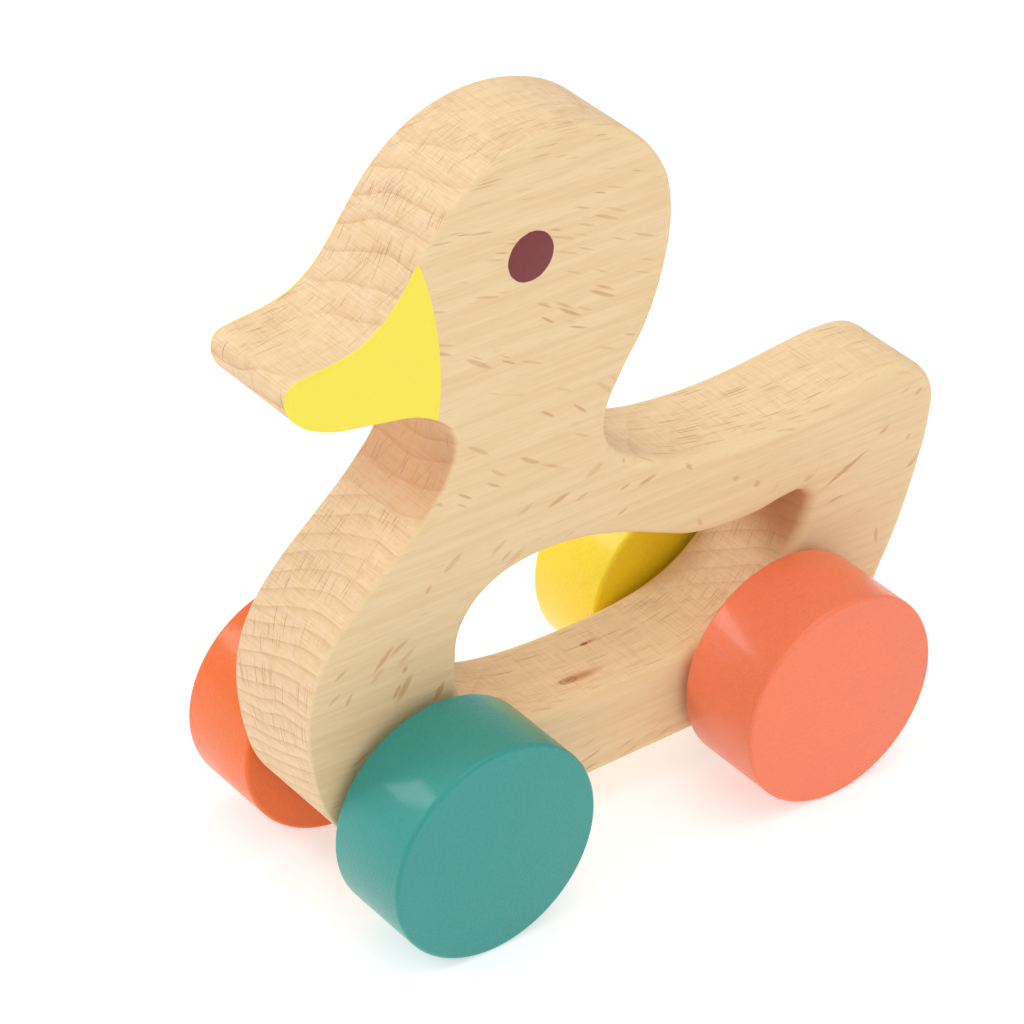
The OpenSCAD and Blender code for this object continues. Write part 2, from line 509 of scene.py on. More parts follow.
def once(name):
    """Builds the node group of this name when it is first asked for"""

    def wrap(build):
        return lambda: bpy.data.node_groups.get(name) or build(name)

    return wrap


@once("Beech figure")
def beech_figure(name):
    """The growth rings, rays and fibres of one plank, whose grain runs along X"""
    wires, given, leave = shader_group(
        name,
        {
            "Position": "vector",
            "Ring Pith": "vector",
            "Ray Pith": "vector",
            "Lean": "float",
            "Ring Width": "float",
            "Fleck Share": "float",
        },
        {"Ring": "float", "Fleck": "float", "Hatch": "float", "Fibre": "float", "Streak": "float"},
    )
    position = given["Position"]
    wander = wires.noise(wires.times(position, 1 / 70, 1 / 24, 1 / 24), detail=1, part="Color")
    wander = wires.times(wires.vector("SUBTRACT", wander, (0.5, 0.5, 0.5)), 0, 5, 5)
    moved = wires.vector("ADD", position, wander)

    def round_pith(pith, lean):
        """Along the pith, out from it and round it, all in millimetres"""
        x, y, z = wires.split(wires.vector("SUBTRACT", moved, given[pith]))
        out = wires.math("SQRT", wires.plus(wires.product(y, y), wires.product(z, z)))
        turn = wires.product(wires.math("DIVIDE", y, z), PITH_REACH)
        return x, out, wires.plus(turn, wires.product(x, lean))

    ring_place = round_pith("Ring Pith", 0.0)
    ray_place = round_pith("Ray Pith", given["Lean"])
    year = wires.math("DIVIDE", ring_place[1], given["Ring Width"])
    year = wires.plus(year, wires.noise(wires.times(position, 1 / 90, 1 / 14, 1 / 14), detail=1))
    season = wires.math("FRACT", year)
    late = wires.pick(0.4, wires.math("POWER", season, 9), wires.math("POWER", season, 2.2))
    ring = wires.product(late, wires.ramp(season, 0.95, 1, 1, 0))

    def rays(place, spacing, smallest, growth, kept):
        """Thin plates that stand along the radius, scattered through the wood. The spacing is
        along the pith, out from it and round it. The plates' sizes are shares of the spacing"""
        scaled = [wires.math("DIVIDE", part, by) for part, by in zip(place, spacing)]
        place = wires.add("ShaderNodeCombineXYZ", dict(enumerate(scaled))).outputs[0]
        distance, chance = wires.cells(place)
        size, keep, depth = wires.split(chance)
        reach = wires.plus(smallest, wires.product(size, growth))
        inner = wires.product(reach, 0.55)
        plate = wires.ramp(distance, inner, reach, 1, 0)
        plate = wires.product(plate, wires.math("LESS_THAN", keep, kept))
        return wires.product(plate, wires.ramp(depth, 0, 1, 0.45, 1))

    results = {
        "Ring": ring,
        "Fleck": rays(ray_place, (8, 18, 0.33), 0.16, 0.26, given["Fleck Share"]),
        "Hatch": rays(ring_place, (5, 8, 0.21), 0.2, 0.22, 0.42),
        "Fibre": wires.noise(wires.times(position, 1 / 5, 1 / 0.3, 1 / 0.3), detail=3, rough=0.65),
        "Streak": wires.noise(wires.times(position, 1 / 30, 1 / 1.5, 1 / 1.5), detail=3, rough=0.6),
    }
    for label, value in results.items():
        wires.join(value, leave.inputs[label])
    return wires.tree


@once("Sanding marks")
def sanding_marks(name):
    """Fine lines left across a sawn wall by the sanding drum"""
    wires, given, leave = shader_group(name, {"Position": "vector"}, {"Marks": "float"})
    lines = wires.noise(wires.times(given["Position"], 1 / 0.24, 1 / 7, 1 / 0.24), detail=2, rough=0.7)
    wires.join(lines, leave.inputs["Marks"])
    return wires.tree


@once("Paint film")
def paint_film(name):
    """Brushed satin paint: a hint of the wood below, a soft orange peel and a few specks of dust"""
    wires, given, leave = shader_group(
        name,
        {"Position": "vector", "Colour": "colour", "Grain": "float", "Gloss": "float"},
        {"Colour": "colour", "Roughness": "float", "Height": "float"},
    )
    position = given["Position"]
    grain = wires.noise(wires.times(position, 1 / 2.6, 1 / 0.3, 1 / 0.3), detail=3, rough=0.6)
    peel = wires.noise(wires.times(position, 1 / 0.7, 1 / 0.4, 1 / 0.4), detail=3, rough=0.6)
    cloud = wires.noise(wires.times(position, 1 / 9, 1 / 9, 1 / 9), detail=2)
    height = wires.plus(wires.product(grain, given["Grain"]), wires.product(peel, 0.6))
    distance, chance = wires.cells(wires.times(position, 1 / 5, 1 / 5, 1 / 5))
    size, kept, tone = wires.split(chance)
    speck = wires.math("LESS_THAN", distance, wires.product(size, 0.028))
    speck = wires.product(speck, wires.math("LESS_THAN", kept, 0.5))
    shade = wires.ramp(wires.plus(wires.product(cloud, 0.5), peel), 0.45, 1.05, 0.93, 1.06)
    shade = wires.pick(given["Grain"], 1.0, shade)
    painted = wires.vector("SCALE", given["Colour"])
    wires.join(shade, painted.node.inputs["Scale"])
    dust = wires.pick(wires.math("GREATER_THAN", tone, 0.6), 0.18, 0.85)
    dust = wires.add("ShaderNodeCombineXYZ", {0: dust, 1: dust, 2: dust}).outputs[0]
    wires.join(wires.mix(wires.product(speck, 0.55), painted, dust), leave.inputs["Colour"])
    rough = wires.plus(given["Gloss"], wires.ramp(cloud, 0.3, 0.7, -0.04, 0.04))
    wires.join(rough, leave.inputs["Roughness"])
    wires.join(wires.plus(height, wires.product(speck, 1.5)), leave.inputs["Height"])
    return wires.tree


def new_material(name):
    """A material with only its output and shader, and the position on the piece in millimetres"""
    material = bpy.data.materials.new(name)
    material.use_nodes = True
    material.node_tree.nodes.clear()
    wires = Wires(material.node_tree)
    place = wires.add("ShaderNodeTexCoord").outputs["Object"]
    position = wires.times(place, 1 / MM, 1 / MM, 1 / MM)
    return material, wires, position


def finish_material(wires, base, roughness, height, depth, **constants):
    """Adds the shader. depth is the relief, in metres, of a height that goes from 0 to 1"""
    bump = wires.add("ShaderNodeBump", {"Height": height, "Distance": depth, "Strength": 1.0})
    shader = wires.add(
        "ShaderNodeBsdfPrincipled",
        {"Base Color": base, "Roughness": roughness, "Normal": bump.outputs[0]},
    )
    for name, value in constants.items():
        shader.inputs[name.replace("_", " ")].default_value = value
    wires.add("ShaderNodeOutputMaterial", {"Surface": shader.outputs[0]})


# The two planks, lower and upper: the hearts of their rings and of their rays, how the rays lean along
# the plank, the share of rays that show, and the width of a year against the usual one. The upper
# plank's rays are placed from the glue joint.
PLANKS = (
    ((0, 26, -40), (0, 22, -45), 0.06, 0.30, 0.7),
    ((0, -20, 230), (0, 36, 118), -0.13, 0.55, 1.1),
)
DOWEL_PITH = (0, 25, -30)
# Marks on the left face, each by its place along X and Z, its half length and half height in
# millimetres, its slope and its strength
FACE_MARKS = (
    (-47.7, 50.6, 6.6, 0.55, -24, 0.62),
    (-55.9, 55.5, 1.5, 0.50, -30, 0.50),
    (-63.2, 60.7, 1.3, 0.45, -30, 0.42),
    (-61.7, 52.1, 0.9, 0.50, -40, 0.40),
    (-56.0, 34.0, 2.2, 0.50, 86, 0.42),
    (-23.0, 57.9, 1.0, 0.55, 8, 0.45),
    (-27.7, 55.1, 1.0, 0.85, 0, 0.42),
    (-39.3, 51.9, 1.7, 0.55, -14, 0.42),
    (-15.6, 52.0, 1.2, 0.50, 55, 0.35),
    (-12.6, 64.1, 1.3, 0.50, 50, 0.45),
    (1.2, 70.3, 0.5, 0.45, 0, 0.55),
    (49.2, 50.3, 3.4, 0.60, -45, 0.55),
    (44.9, 46.7, 0.9, 0.55, -52, 0.55),
    (46.4, 43.0, 1.9, 0.55, -60, 0.55),
    (55.9, 45.2, 1.6, 0.50, -60, 0.40),
    (40.5, 60.5, 1.0, 0.50, -50, 0.50),
    (37.9, 39.6, 2.2, 0.80, -58, 0.60),
)
# Browner patches on the sawn walls: painted shade at the back of the grip opening, and painted shade from the
# bill over browner wood at the throat. X and Z, reach and strength
WALL_SHADE_PATCHES = ((39, 81, 13, 0.55), (-41, 43, 12, 0.75))
# Pin knots on the floor of the grip opening: X, Y and Z, half length, half width and darkness
FLOOR_KNOTS = ((-2.7, -3.1, 24.9, 0.75, 0.35, 1.0), (6.2, 4.0, 24.9, 2.0, 0.9, 0.45))


def face_mark(wires, position, mark):
    """How strongly a mark shows at a place on the left face"""
    x, z, long, high, slope, strength = mark
    turn = math.radians(slope)
    place = wires.vector("SUBTRACT", position, (x, 0, z))
    along = wires.vector("DOT_PRODUCT", place, (math.cos(turn) / long, 0, math.sin(turn) / long))
    over = wires.vector("DOT_PRODUCT", place, (-math.sin(turn) / high, 0, math.cos(turn) / high))
    reach = wires.plus(wires.math("ABSOLUTE", along), wires.math("POWER", over, 2))
    return wires.product(wires.ramp(reach, 0.5, 1.0, 1, 0), strength)


def knot_masks(wires, position, knot):
    """The heart of a pin knot, and the wood that it discolours along the grain"""
    x, y, z, long, wide, dark = knot
    place = wires.vector("SUBTRACT", position, (x, y, z))
    heart = wires.vector("LENGTH", wires.times(place, 1 / long, 1 / wide, 1 / 4))
    behind = wires.vector("ADD", place, (long * 1.2, 0, 0))
    halo = wires.vector("LENGTH", wires.times(behind, 1 / (long * 3.2), 1 / (wide * 1.7), 1 / 4))
    swirl = wires.plus(wires.product(wires.math("SINE", wires.product(heart, 9)), 0.3), 0.7)
    core = wires.product(wires.ramp(heart, 0.75, 1.1, 1, 0), swirl, dark)
    return core, wires.product(wires.ramp(halo, 0.1, 1, 1, 0), 0.85)


def beech_board_material(wood):
    """Sanded beech: two planks glued edge to edge, each with its own rings and rays"""
    material, wires, position = new_material("sanded_beech")
    joint = wood.joint / MM
    lower_plank, upper_plank = (
        wires.group(
            beech_figure(),
            {
                "Position": position,
                "Ring Pith": ring_pith,
                "Ray Pith": (ray_pith[0], ray_pith[1], ray_pith[2] + start),
                "Lean": lean,
                "Ring Width": wood.ring_width * year,
                "Fleck Share": kept,
            },
        )
        for (ring_pith, ray_pith, lean, kept, year), start in zip(PLANKS, (0, joint))
    )
    x, y, z = wires.split(position)
    upper = wires.math("GREATER_THAN", z, joint)
    ring, fleck, hatch, fibre, streak = (
        wires.pick(upper, lower_plank[name], upper_plank[name])
        for name in ("Ring", "Fleck", "Hatch", "Fibre", "Streak")
    )
    face = wires.attribute("face")
    wall = wires.math("SUBTRACT", 1, face, clamp=True)
    end = wires.math("POWER", wires.attribute("end_grain"), 1.4)
    edge = wires.attribute("edge")

    base = wires.mix(wires.ramp(streak, 0.34, 0.7, 0.05, 0.75), linear(wood.pale), linear(wood.streak))
    ends = wires.mix(wires.ramp(streak, 0.3, 0.7), linear(wood.end_grain), linear(wood.streak))
    base = wires.mix(wires.product(end, 0.8), base, ends)
    base = wires.mix(wires.ramp(fibre, 0.45, 0.8, 0, 0.8), base, linear(wood.streak))
    base = wires.mix(wires.ramp(fibre, 0.2, 0.5, 0.45, 0), base, linear(wood.pale))
    ring_share = wires.plus(0.06, wires.product(end, 0.62))
    base = wires.mix(wires.product(ring, ring_share), base, linear(wood.ring))
    hatch_share = wires.plus(0.06, wires.product(wall, wires.plus(0.36, wires.product(end, 0.54))))
    base = wires.mix(wires.product(hatch, hatch_share), base, linear(wood.end_line))
    beside_end = wires.math("SUBTRACT", 1, wires.product(end, 0.8))
    fleck_share = wires.product(wires.pick(face, 0.85, 0.62), beside_end)
    base = wires.mix(wires.product(fleck, fleck_share), base, linear(wood.fleck))
    sanding = wires.group(sanding_marks(), {"Position": position})["Marks"]
    scuffs = wires.ramp(sanding, 0.5, 0.68, 0, 0.3)
    base = wires.mix(wires.product(scuffs, wall), base, linear(wood.sanded))
    scores = wires.ramp(sanding, 0.34, 0.5, 0.2, 0)
    base = wires.mix(wires.product(scores, wall), base, linear(wood.ring))
    # Painted highlight: a pale band along the middle of every rounded edge, strongest halfway round the
    # rounding
    base = wires.mix(wires.product(edge, 0.4), base, linear(wood.sanded))

    on_left = wires.product(face, wires.math("GREATER_THAN", y, 0))
    marks = 0.0
    for mark in FACE_MARKS:
        marks = wires.math("MAXIMUM", marks, face_mark(wires, position, mark))
    mottle = wires.ramp(fibre, 0.25, 0.6, 0.6, 1)
    base = wires.mix(wires.product(marks, on_left, mottle), base, linear(wood.stain_and_shade))
    # Painted shade on the sawn walls at the throat and at the back of the grip opening, in the stain colour
    for x_at, z_at, reach, strength in WALL_SHADE_PATCHES:
        place = wires.times(wires.vector("SUBTRACT", position, (x_at, 0, z_at)), 1 / reach, 0, 1 / reach)
        near = wires.ramp(wires.vector("LENGTH", place), 0.2, 1, strength, 0)
        base = wires.mix(wires.product(near, wall), base, linear(wood.stain_and_shade))
    for knot in FLOOR_KNOTS:
        core, halo = knot_masks(wires, position, knot)
        base = wires.mix(wires.product(halo, wall), base, linear(wood.stain_and_shade))
        base = wires.mix(wires.product(core, wall), base, linear(wood.knot))

    relief = wires.plus(fibre, wires.product(fleck, -0.8))
    relief = wires.math("SUBTRACT", relief, wires.product(ring, wires.product(end, 0.8)))
    rough = wires.ramp(wires.plus(fibre, wires.product(fleck, -0.5)), 0, 1, 0.5, 0.72)
    finish_material(wires, base, rough, relief, WOOD_RELIEF, Specular_IOR_Level=0.35)
    return material


def dowel_material(wood):
    """Raw beech dowel, whose grain runs along its length"""
    material, wires, position = new_material("dowel_beech")
    turned = wires.add("ShaderNodeMapping", {"Vector": position, "Rotation": (0, 0, math.radians(90))})
    figure = wires.group(
        beech_figure(),
        {
            "Position": turned.outputs[0],
            "Ring Pith": DOWEL_PITH,
            "Ray Pith": DOWEL_PITH,
            "Lean": 0.0,
            "Ring Width": wood.ring_width,
            "Fleck Share": 0.5,
        },
    )
    base = wires.mix(wires.ramp(figure["Streak"], 0.3, 0.7), linear(wood.end_grain), linear(wood.streak))
    base = wires.mix(wires.product(figure["Ring"], 0.3), base, linear(wood.ring))
    base = wires.mix(wires.product(figure["Fleck"], 0.7), base, linear(wood.fleck))
    rough = wires.ramp(figure["Fibre"], 0, 1, 0.6, 0.8)
    finish_material(wires, base, rough, figure["Fibre"], WOOD_RELIEF, Specular_IOR_Level=0.3)
    return material


def paint_material(name, painted, turn=0.0, grain=0.6, gloss=0.4, coat=0.0, depth=0.02):
    """Paint over wood. turn is the way that the grain below runs, in the XZ plane"""
    material, wires, position = new_material(name)
    turned = wires.add("ShaderNodeMapping", {"Vector": position, "Rotation": (0, turn, 0)})
    film = wires.group(
        paint_film(),
        {"Position": turned.outputs[0], "Colour": linear(painted), "Grain": grain, "Gloss": gloss},
    )
    finish_material(
        wires,
        film["Colour"],
        film["Roughness"],
        film["Height"],
        depth * MM,
        Specular_IOR_Level=0.34,
        Coat_Weight=coat,
        Coat_Roughness=0.14,
    )
    return material


# ---------------------------------------------------------------- the board


class DUCK_OT_cut_board(bpy.types.Operator):
    """Cut the duck from its board, with sanded edges and the two axle bores"""

    bl_idname = "duck.cut_board"
    bl_label = "Cut Board"

    def execute(self, context):
        sizes = context.scene.duck_board
        outline = BoardOutline(sizes)
        work = bmesh.new()
        rims = self.sand_edges(work, outline, sizes)
        bores = self.drill_bores(work, outline, sizes.bore_points)
        for side in (1, -1):
            rim, *holes = rims[side]
            add_face(work, rim, [*holes, *bores], side * outline.half, sizes.face_step)
        bmesh.ops.remove_doubles(work, verts=work.verts, dist=WELD)
        bmesh.ops.recalc_face_normals(work, faces=work.faces)
        mesh = smooth_mesh(work, "duck_board")
        self.mark_grain(mesh)
        wood = beech_board_material(context.scene.duck_beech)
        add_piece("duck_board", mesh, "board", wood, "beech", "duck_body")
        return {"FINISHED"}

    def sand_edges(self, work, outline, sizes):
        """The sawn walls and their rounded edges. Gives back each side's rims of the flat face"""
        edge_highlight_layer = work.verts.layers.float.new("edge")
        quarter = np.linspace(0, math.pi / 2, sizes.round_steps + 1)
        rims = {1: [], -1: []}
        for k, loop in enumerate(outline.loops):
            left = [outline.row(k, 1, np.full(len(loop), a)) for a in quarter[::-1]]
            right = [outline.row(k, -1, np.full(len(loop), a)) for a in quarter]
            shares = np.linspace(0, 1, sizes.wall_steps + 1)[1:-1]
            wall = [left[-1] + s * (right[0] - left[-1]) for s in shares]
            corners = add_rows(work, left + wall + right)
            # Each rounding row notes how near it is to the middle of its edge, where the highlight is painted
            for row, a in zip(corners, [*quarter[::-1], *(0 * shares), *quarter]):
                for corner in row:
                    corner[edge_highlight_layer] = math.sin(2 * a)
            rims[1].append(left[0][:, [0, 2]])
            rims[-1].append(right[-1][:, [0, 2]])
        return rims

    def drill_bores(self, work, outline, points):
        """The walls of the axle bores. Gives back their outlines"""
        angles = np.arange(points) * math.tau / points
        circle = outline.bore_radius * np.column_stack([np.cos(angles), np.sin(angles)])
        bores = [centre + circle for centre in outline.bores]
        for bore in bores:
            x, z = bore.T
            faces = (outline.half, -outline.half)
            add_rows(work, [np.column_stack([x, np.full(points, y), z]) for y in faces])
        return bores

    def mark_grain(self, mesh):
        """Notes at each point how far it faces along the grain, and out of the flat faces"""
        normals = np.empty(len(mesh.vertices) * 3, dtype=np.float32)
        mesh.vertices.foreach_get("normal", normals)
        for name, part in (("end_grain", 0), ("face", 1)):
            attribute = mesh.attributes.new(name, "FLOAT", "POINT")
            attribute.data.foreach_set("value", np.ascontiguousarray(np.abs(normals[part::3])))


OFF_THE_EDGE = 3  # outline steps from the board's edge at which a point is on the paint's arc
BILL_SPARE = 2 * MM  # room left below the lowest paint
ARC_STEP = 1.5  # degrees between the cuts along the arc
ARC_SPARE = 6  # degrees that the cuts go on past the arc's ends
SLIVER = 20 * WELD  # points closer than this become one
BILL_SIDES_APART = 9.0  # how far apart in the noise the two sides are, so that they differ
EYE_SIDES_APART = 3.0
EYE_WOBBLE = 0.014  # how far a brushed eye is from round, as a share of its radius
EYE_LOBES = 5.0


def circle_through(points):
    """Centre and radius of the circle that best fits the points"""
    rows = np.column_stack([points, np.ones(len(points))])
    a, b, c = np.linalg.lstsq(rows, (points**2).sum(axis=1), rcond=None)[0]
    centre = np.array([a / 2, b / 2])
    return centre, math.sqrt(c + centre @ centre)


class DUCK_OT_paint_bill(bpy.types.Operator):
    """Lay the yellow paint on both sides of the bill, a little way round its edges"""

    bl_idname = "duck.paint_bill"
    bl_label = "Paint Bill"

    def execute(self, context):
        sizes, paints = context.scene.duck_board, context.scene.duck_paints
        outline = BoardOutline(sizes)
        loop = outline.loops[0]
        paint = paint_material("bill_paint", paints.bill, grain=0.25, gloss=0.5, depth=0.012)
        for name, side in SIDES.items():
            node = f"{name}_bill_paint"
            low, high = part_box(node)
            shape = even_loop(section_loops(node, (low.y + high.y) / 2)[0], sizes.outline_step)
            face = outline.row(0, side, np.full(len(loop), math.pi / 2))[:, [0, 2]]
            arc = shape[nearest(shape, face) > OFF_THE_EDGE * sizes.outline_step]
            ragged = np.array([noise.noise((p[0] / MM, side * BILL_SIDES_APART, p[1] / MM)) for p in loop])
            last = math.pi / 2 - paints.wrap * (1 + paints.ragged * ragged)
            work = bmesh.new()
            shares = np.linspace(0, 1, paints.film_steps + 1)
            add_rows(work, [outline.row(0, side, math.pi / 2 + s * (last - math.pi / 2)) for s in shares])
            add_face(work, face, [], side * outline.half, sizes.face_step)
            bmesh.ops.remove_doubles(work, verts=work.verts, dist=WELD)
            self.cut_off(work, (0, 0, low.z - BILL_SPARE), (0, 0, -1))
            self.cut_to_arc(work, arc)
            bmesh.ops.remove_doubles(work, verts=work.verts, dist=SLIVER)
            bmesh.ops.dissolve_degenerate(work, edges=work.edges, dist=SLIVER / 2)
            bmesh.ops.recalc_face_normals(work, faces=work.faces)
            if sum(f.normal.y * f.calc_area() for f in work.faces) * side < 0:
                bmesh.ops.reverse_faces(work, faces=work.faces)
            skin = smooth_mesh(work, node)
            mesh = self.thickened(skin, paints.film)
            add_piece(f"{name}_bill", mesh, "board", paint, "bill_yellow", node)
        return {"FINISHED"}

    def cut_to_arc(self, work, arc):
        """Ends the paint at the arc, by short straight cuts along it"""
        centre, radius = circle_through(arc)
        toward = np.degrees(np.arctan2(*(arc - centre).T[::-1])) % 360
        cuts = np.arange(toward.min() - ARC_SPARE, toward.max() + ARC_SPARE, ARC_STEP)
        for turn in np.radians(cuts):
            out = np.array([math.cos(turn), math.sin(turn)])
            at = centre + radius * out
            self.cut_off(work, (at[0], 0, at[1]), (out[0], 0, out[1]))

    def cut_off(self, work, place, away):
        """Takes off what lies beyond a plane"""
        everything = work.verts[:] + work.edges[:] + work.faces[:]
        bmesh.ops.bisect_plane(
            work, geom=everything, dist=WELD / 10, plane_co=place, plane_no=away, clear_outer=True
        )

    def thickened(self, skin, film):
        """The skin as a closed film that bites a little into the wood"""
        holder = bpy.data.objects.new("film", skin)
        bpy.context.scene.collection.objects.link(holder)
        solid = holder.modifiers.new("film", "SOLIDIFY")
        solid.thickness, solid.offset = film, 0.5
        ready = holder.evaluated_get(bpy.context.evaluated_depsgraph_get())
        mesh = bpy.data.meshes.new_from_object(ready)
        bpy.data.objects.remove(holder)
        return outward_mesh(mesh, skin.name)


# ---------------------------------------------------------------- turned pieces


MOUTH_CORNER = 2  # which corner of the turned profile is the mouth of the hole


@once("Turned piece")
def turned_piece(name):
    """Geometry nodes: a disc turned on the Y axis, with rounded edges and a blind hole"""
    tree = bpy.data.node_groups.new(name, "GeometryNodeTree")
    tree.interface.new_socket("Geometry", in_out="OUTPUT", socket_type="NodeSocketGeometry")
    sockets = {
        "Centre": "NodeSocketVector",
        "Side": "NodeSocketFloat",
        "Radius": "NodeSocketFloat",
        "Width": "NodeSocketFloat",
        "Rounding": "NodeSocketFloat",
        "Hole Radius": "NodeSocketFloat",
        "Hole Depth": "NodeSocketFloat",
        "Hole Rounding": "NodeSocketFloat",
        "Segments": "NodeSocketInt",
        "Round Steps": "NodeSocketInt",
        "Material": "NodeSocketMaterial",
    }
    for label, kind in sockets.items():
        tree.interface.new_socket(label, in_out="INPUT", socket_type=kind)
    wires = Wires(tree)
    given = wires.add("NodeGroupInput").outputs

    def point(radius, height):
        return wires.add("ShaderNodeCombineXYZ", {0: radius, 1: height, 2: 0.0}).outputs[0]

    corners = [
        point(0.0, given["Hole Depth"]),
        point(given["Hole Radius"], given["Hole Depth"]),
        point(given["Hole Radius"], 0.0),
        point(given["Radius"], 0.0),
        point(given["Radius"], given["Width"]),
        point(0.0, given["Width"]),
    ]
    index = wires.add("GeometryNodeInputIndex").outputs[0]
    chooser = wires.add("GeometryNodeIndexSwitch", data_type="VECTOR")
    while len(chooser.index_switch_items) < len(corners):
        chooser.index_switch_items.new()
    wires.join(index, chooser.inputs["Index"])
    for number, corner in enumerate(corners):
        wires.join(corner, chooser.inputs[str(number)])
    line = wires.add("GeometryNodeMeshLine", {"Count": len(corners)})
    bent = wires.add("GeometryNodeSetPosition", {"Geometry": line.outputs[0], "Position": chooser.outputs[0]})
    curve = wires.add("GeometryNodeMeshToCurve", {0: bent.outputs[0]})

    def is_corner(comparison, number):
        settings = {"data_type": "INT", "operation": comparison}
        return wires.add("FunctionNodeCompare", {2: index, 3: number}, **settings).outputs[0]

    rounding = wires.plus(
        wires.product(is_corner("EQUAL", MOUTH_CORNER), given["Hole Rounding"]),
        wires.product(is_corner("GREATER_EQUAL", MOUTH_CORNER + 1), given["Rounding"]),
    )
    eased = wires.add(
        "GeometryNodeFilletCurve",
        {"Curve": curve.outputs[0], "Count": given["Round Steps"], "Radius": rounding, "Limit Radius": True},
        mode="POLY",
    ).outputs[0]
    size = wires.add("GeometryNodeAttributeDomainSize", {0: eased}, component="CURVE")
    rows = size.outputs["Point Count"]
    turns = wires.plus(given["Segments"], 1)
    grid = wires.add(
        "GeometryNodeMeshGrid", {"Size X": 1.0, "Size Y": 1.0, "Vertices X": rows, "Vertices Y": turns}
    )
    across, around, _ = wires.split(wires.add("GeometryNodeInputPosition").outputs[0])
    row = wires.math("ROUND", wires.product(wires.plus(across, 0.5), wires.math("SUBTRACT", rows, 1)))
    profile = wires.add(
        "GeometryNodeSampleIndex",
        {"Geometry": eased, "Value": wires.add("GeometryNodeInputPosition").outputs[0], "Index": row},
        data_type="FLOAT_VECTOR",
    )
    radius, height, _ = wires.split(profile.outputs[0])
    turn = wires.product(around, math.tau)
    flat = wires.add(
        "ShaderNodeCombineXYZ",
        {
            0: wires.product(radius, wires.math("COSINE", turn)),
            1: wires.product(height, given["Side"]),
            2: wires.product(radius, wires.math("SINE", turn), given["Side"]),
        },
    )
    place = wires.vector("ADD", flat.outputs[0], given["Centre"])
    turned = wires.add("GeometryNodeSetPosition", {"Geometry": grid.outputs[0], "Position": place})
    welded = wires.add("GeometryNodeMergeByDistance", {"Geometry": turned.outputs[0], "Distance": WELD})
    real = wires.add("GeometryNodeRealizeInstances", {0: welded.outputs[0]}).outputs[0]
    painted = wires.add("GeometryNodeSetMaterial", {"Geometry": real, "Material": given["Material"]})
    wires.add("NodeGroupOutput", {0: painted.outputs[0]})
    return tree


def turn_on_lathe(name, **values):
    """A plain mesh of the turned piece with these values"""
    holder = bpy.data.objects.new(name, bpy.data.meshes.new(name))
    bpy.context.scene.collection.objects.link(holder)
    modifier = holder.modifiers.new("turning", "NODES")
    modifier.node_group = turned_piece()
    for item in modifier.node_group.interface.items_tree:
        if item.in_out == "INPUT":
            modifier[item.identifier] = values[item.name.lower().replace(" ", "_")]
    ready = holder.evaluated_get(bpy.context.evaluated_depsgraph_get())
    mesh = bpy.data.meshes.new_from_object(ready)
    holder.modifiers.remove(modifier)
    bpy.data.objects.remove(holder)
    return outward_mesh(mesh, name)


# Which way the grain runs across each wheel, in degrees
WHEEL_GRAIN = {"wheel_teal": 45, "wheel_orange": 100, "wheel_coral": -20, "wheel_yellow": 70}


class DUCK_OT_turn_wheels(bpy.types.Operator):
    """Turn the four wheels, each with a blind hole for its axle"""

    bl_idname = "duck.turn_wheels"
    bl_label = "Turn Wheels"

    def execute(self, context):
        sizes, paints = context.scene.duck_wheels, context.scene.duck_paints
        for node, (body, slot, side) in WHEELS.items():
            low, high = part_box(node)
            axle_low, axle_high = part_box(node.split("_")[0] + "_axle")
            middle = (low + high) / 2
            inner = min(abs(low.y), abs(high.y))
            material = paint_material(
                f"{slot}_paint",
                getattr(paints, slot),
                turn=math.radians(WHEEL_GRAIN[slot]),
                grain=0.7,
                gloss=0.33,
                coat=0.22,
                depth=0.2,
            )
            mesh = turn_on_lathe(
                node,
                centre=(middle.x, side * inner, middle.z),
                side=float(side),
                radius=(high.x - low.x) / 2,
                width=high.y - low.y,
                rounding=sizes.rounding,
                hole_radius=(axle_high.x - axle_low.x) / 2,
                hole_depth=axle_high.y - inner,
                hole_rounding=sizes.hole_rounding,
                segments=sizes.segments,
                round_steps=sizes.round_steps,
                material=material,
            )
            add_piece(f"{node}_turned", mesh, body, material, slot, node)
        return {"FINISHED"}


class DUCK_OT_paint_eyes(bpy.types.Operator):
    """Dab the two round eyes on the faces of the board"""

    bl_idname = "duck.paint_eyes"
    bl_label = "Paint Eyes"

    def execute(self, context):
        paints = context.scene.duck_paints
        paint = paint_material("eye_paint", paints.eye, grain=1.0, gloss=0.45, depth=0.02)
        bite = paints.film / 3
        for name, side in SIDES.items():
            node = f"{name}_eye_paint"
            low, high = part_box(node)
            middle = (low + high) / 2
            face = min(abs(low.y), abs(high.y))
            mesh = turn_on_lathe(
                node,
                centre=(middle.x, side * (face - bite), middle.z),
                side=float(side),
                radius=(high.x - low.x) / 2,
                width=paints.film,
                rounding=paints.film / 3,
                hole_radius=0.0,
                hole_depth=0.0,
                hole_rounding=0.0,
                segments=128,
                round_steps=3,
                material=paint,
            )
            for vertex in mesh.vertices:
                arm = Vector((vertex.co.x - middle.x, 0, vertex.co.z - middle.z))
                if arm.length > WELD:
                    at = arm.normalized() * EYE_LOBES + Vector((0, side * EYE_SIDES_APART, 0))
                    vertex.co += arm * EYE_WOBBLE * noise.noise(at)
            add_piece(f"{name}_eye", mesh, "board", paint, "eye_maroon", node)
        return {"FINISHED"}


